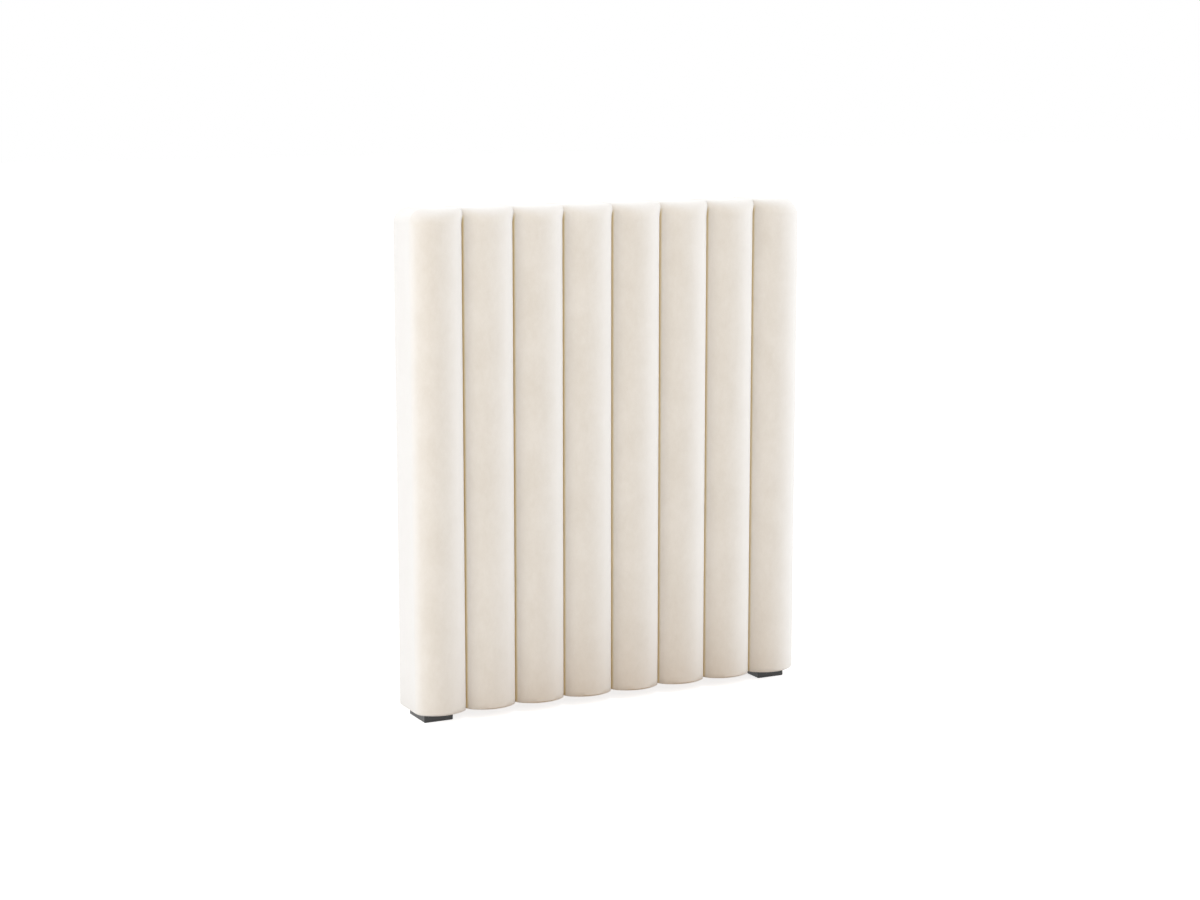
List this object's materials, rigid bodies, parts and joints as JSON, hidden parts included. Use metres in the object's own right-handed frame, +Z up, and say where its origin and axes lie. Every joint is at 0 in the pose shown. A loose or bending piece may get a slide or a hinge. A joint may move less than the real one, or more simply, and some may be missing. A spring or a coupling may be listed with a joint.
{
  "type": "headboard",
  "caption": "Floor-standing upholstered headboard with upright rounded velvet channels over foam on a timber frame, rounded over at the top, on low black feet.",
  "frame": {"origin": "on the floor, in the middle of the width and of the whole depth", "axes": "+Z up, +X along the width, to the right of someone who faces the channels, and +Y from the channels to the back that stands against the wall"},
  "size_m": [1, 0.1416, 1.173],
  "materials": {
    "velvet": "matte",
    "foam": "matte",
    "timber": "matte",
    "plywood": "matte",
    "dust_cover": "matte",
    "insert_steel": "satin",
    "screw_steel": "satin",
    "foot_plastic": "satin"
  },
  "bodies": {
    "root": {"left_stile": "timber", "right_stile": "timber", "bottom_rail": "timber", "lower_cross_rail": "timber", "upper_cross_rail": "timber", "top_rail": "timber", "bottom_left_glue_block": "timber", "bottom_right_glue_block": "timber", "top_left_glue_block": "timber", "top_right_glue_block": "timber", "front_board": "plywood", "channel_1_foam": "foam", "channel_2_foam": "foam", "channel_3_foam": "foam", "channel_4_foam": "foam", "channel_5_foam": "foam", "channel_6_foam": "foam", "channel_7_foam": "foam", "channel_8_foam": "foam", "channel_1_top_pad": "foam", "channel_2_top_pad": "foam", "channel_3_top_pad": "foam", "channel_4_top_pad": "foam", "channel_5_top_pad": "foam", "channel_6_top_pad": "foam", "channel_7_top_pad": "foam", "channel_8_top_pad": "foam", "left_side_pad": "foam", "right_side_pad": "foam", "channel_1_cover": "velvet", "channel_2_cover": "velvet", "channel_3_cover": "velvet", "channel_4_cover": "velvet", "channel_5_cover": "velvet", "channel_6_cover": "velvet", "channel_7_cover": "velvet", "channel_8_cover": "velvet", "dust_cover": "dust_cover", "threaded_inserts": "insert_steel", "foot_screws": "screw_steel", "left_foot": "foot_plastic", "right_foot": "foot_plastic"}
  },
  "joints": []
}
